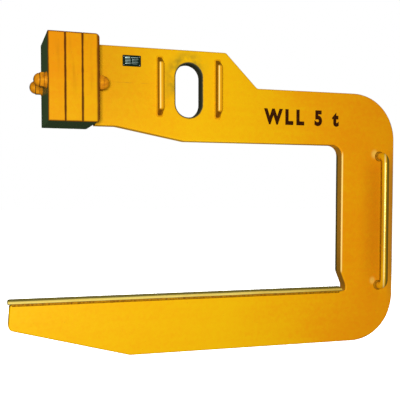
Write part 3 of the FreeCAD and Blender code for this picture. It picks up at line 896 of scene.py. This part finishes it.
def ruled_bar(left, right, height, thickness):
    """One blank ruled line, in the plate's own plane before it is stood up."""
    deselect()
    bpy.ops.mesh.primitive_cube_add(size=1, location=((left + right) / 2, height, RELIEF / 2))
    bar = bpy.context.object
    bar.scale = (right - left, thickness, RELIEF)
    settle(bar)
    soft = bar.modifiers.new("soft", "BEVEL")
    soft.width = RELIEF / 3
    soft.segments = 2
    apply_modifiers(bar)
    return bar


rim.name = "nameplate_rim"
rim.rotation_euler = (math.pi / 2, 0, 0)
rim.location = (name_middle.x, name_low.y, name_middle.z)
settle(rim)
finish_piece(rim, plate_ground, "nameplate")

FIELD_LEFT = -0.023
FIELD_RIGHT = 0.024
HEADING_HEIGHT = 0.0115
FIRST_LINE = 0.0055
LINE_PITCH = 0.0052
BLOCK = 0.0042
BROAD = 0.0016
FINE = 0.0010
SHORTER = 0.004
relief = []
relief.append(ruled_bar(FIELD_LEFT, -0.006, HEADING_HEIGHT, BLOCK))
relief.append(ruled_bar(-0.002, FIELD_RIGHT, HEADING_HEIGHT, BROAD))
for line in range(4):
    height = FIRST_LINE - line * LINE_PITCH
    relief.append(ruled_bar(FIELD_LEFT, -0.004, height, BROAD))
    relief.append(ruled_bar(0.001, FIELD_RIGHT - SHORTER * (line % 2), height, FINE))
ruling = join(relief, "nameplate_ruling")
ruling.rotation_euler = (math.pi / 2, 0, 0)
ruling.location = (name_middle.x, name_low.y, name_middle.z)
settle(ruling)
finish_piece(ruling, plate_bright, "nameplate")


# ---- Nameplate rivets -------------------------------------------------------------------------
# Four aluminium blind rivets, one at each corner of the nameplate.
# Their heads are scuffed and dull.

RIVET_PALE = (0.30, 0.31, 0.30, 1)
RIVET_DULL = (0.12, 0.12, 0.11, 1)

rivet_metal = Finish("rivet_aluminium")
scuffs = rivet_metal.noise(700.0, detail=3.0, stretch=(1.0, 1.0, 0.3))
rivet_metal.set(Base_Color=rivet_metal.colours(scuffs, RIVET_PALE, RIVET_DULL), Metallic=1.0)
rivet_metal.set(Roughness=scuffs * 0.3 + 0.22, Normal=rivet_metal.bump(scuffs, 0.0001, 0.6))
dress("nameplate_rivets", rivet_metal)


# ---- Capacity marking -------------------------------------------------------------------------
# The working load, stencilled on both faces in dark maroon paint over the enamel.  The paint
# stands a fraction of a millimetre proud and has faded in places.

STENCIL_MAROON = (0.035, 0.007, 0.002, 1)
STENCIL_FADED = (0.20, 0.07, 0.01, 1)

stencil_paint = Finish("stencil_paint")
fading = stencil_paint.noise(85.0, detail=6.0, roughness=0.75)
thin = stencil_paint.step(fading, 0.52, 0.74)
stencil_paint.set(Base_Color=stencil_paint.colours(thin * 0.55, STENCIL_MAROON, STENCIL_FADED))
stencil_paint.set(Specular_IOR_Level=0.12, Specular_Tint=ENAMEL_GLOSS)
stencil_paint.set(Roughness=fading * 0.25 + 0.35, Normal=stencil_paint.bump(fading, 0.0004, 0.5))

MARK_LEFT = 0.2935
MARK_RIGHT = 0.607
MARK_MIDDLE = -0.1290
MARK_HEIGHT = 0.060
MARK_COAT = 0.0003
MARK_FATTENING = 0.0045
MARK_SIZE = 0.080
MARK_SPACING = 1.45
SAME_POINT = 0.00005

deselect()
bpy.ops.object.text_add(location=(0, 0, 0))
letters = bpy.context.object
letters.data.body = "WLL 5 t"
letters.data.size = MARK_SIZE
letters.data.offset = MARK_FATTENING
letters.data.space_character = MARK_SPACING
letters.data.extrude = MARK_COAT
letters.data.align_x = "CENTER"
bpy.ops.object.convert(target="MESH")
letters = bpy.context.object
corners = [vertex.co for vertex in letters.data.vertices]
text_low = Vector((min(co.x for co in corners), min(co.y for co in corners), 0))
text_high = Vector((max(co.x for co in corners), max(co.y for co in corners), 0))
letters.scale = (
    (MARK_RIGHT - MARK_LEFT) / (text_high.x - text_low.x),
    MARK_HEIGHT / (text_high.y - text_low.y),
    1,
)
letters.location = -(text_low + text_high) / 2 * Vector(letters.scale)
settle(letters)
bpy.ops.object.mode_set(mode="EDIT")
bpy.ops.mesh.select_all(action="SELECT")
bpy.ops.mesh.remove_doubles(threshold=SAME_POINT)
bpy.ops.mesh.normals_make_consistent(inside=False)
bpy.ops.object.mode_set(mode="OBJECT")

for side_name, side, turn in (("front", -1, 0), ("rear", 1, math.pi)):
    mark = letters.copy()
    mark.data = letters.data.copy()
    bpy.context.collection.objects.link(mark)
    mark.name = side_name + "_capacity_mark"
    mark.rotation_euler = (math.pi / 2, 0, turn)
    mark.location = ((MARK_LEFT + MARK_RIGHT) / 2, side * HALF_PLATE, MARK_MIDDLE)
    settle(mark)
    finish_piece(mark, stencil_paint, "nameplate")
bpy.data.objects.remove(letters)


# ---- Studio -----------------------------------------------------------------------------------
# The hook hangs a little above a plain pale floor.  A soft key light stands beside the camera,
# a fill light without highlights behind, and a sun lights the floor alone.

FLOOR_DROP = 0.30
FLOOR_SIZE = 120
PALE_FLOOR = (0.9, 0.9, 0.9, 1)
WHITE = (1, 1, 1, 1)
DIM_ROOM = (0.055, 0.065, 0.05, 1)
deselect()
bpy.ops.mesh.primitive_plane_add(size=FLOOR_SIZE, location=(0, 0, cad_low[2] - FLOOR_DROP))
floor = bpy.context.object
floor.name = "studio_floor"
pale = Finish("studio_floor")
pale.set(Base_Color=PALE_FLOOR, Roughness=0.9)
pale.set(Emission_Color=WHITE, Emission_Strength=0.45)
floor.data.materials.append(pale.material)
floor.visible_diffuse = False
floor.visible_glossy = False
floor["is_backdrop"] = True


def aim(thing, target):
    direction = Vector(target) - thing.location
    thing.rotation_euler = direction.to_track_quat("-Z", "Y").to_euler()


def soft_light(name, place, target, width, height, power):
    bpy.ops.object.light_add(type="AREA", location=place)
    light = bpy.context.object
    light.name = name
    light.data.shape = "RECTANGLE"
    light.data.size = width
    light.data.size_y = height
    light.data.energy = power
    light.visible_camera = False
    aim(light, target)
    return light


soft_light("key_light", (-1.0, -3.4, -0.40), (0.0, 0, -0.45), width=0.7, height=0.5, power=133)
rear_light = soft_light(
    "rear_light", (0.9, 3.6, 2.0), (0.1, 0, -0.4), width=2.2, height=2.2, power=300)
rear_light.visible_glossy = False

# A strip inside the throat, for the underside of the upper arm alone.
strip = soft_light(
    "underside_light", (-0.05, 0, -0.70), (-0.05, 0, 0), width=1.0, height=0.04, power=1.4)
lit_underside = bpy.data.collections.new("lit_by_underside_light")
lit_underside.objects.link(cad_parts["hook_body"])
strip.light_linking.receiver_collection = lit_underside

bpy.ops.object.light_add(type="SUN", location=(0, 0, 3))
sun = bpy.context.object
sun.name = "floor_light"
sun.data.angle = math.radians(25)
sun.data.energy = 2.3
lit_by_sun = bpy.data.collections.new("lit_by_floor_light")
lit_by_sun.objects.link(floor)
sun.light_linking.receiver_collection = lit_by_sun

world = bpy.data.worlds.new("studio")
bpy.context.scene.world = world
world.use_nodes = True
tree = world.node_tree
seen = tree.nodes.new("ShaderNodeLightPath")
choose = tree.nodes.new("ShaderNodeMix")
choose.data_type = "RGBA"
choose.inputs[6].default_value = DIM_ROOM
choose.inputs[7].default_value = WHITE
tree.links.new(seen.outputs["Is Camera Ray"], choose.inputs[0])
tree.links.new(choose.outputs[2], tree.nodes["Background"].inputs["Color"])
bpy.context.scene.view_settings.view_transform = "Standard"

CAMERA_PLACE = (-0.7464, -2.4620, -0.4447)
CAMERA_TILT = math.radians(90 - 2.802)
CAMERA_TURN = math.radians(-17.17)
bpy.ops.object.camera_add(location=CAMERA_PLACE)
camera = bpy.context.object
camera.rotation_euler = (CAMERA_TILT, 0, CAMERA_TURN)
camera.data.sensor_width = 36
camera.data.lens = 62.88
camera.data.shift_x = 0.0231
camera.data.shift_y = 0.0870
bpy.context.scene.camera = camera

low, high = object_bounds()
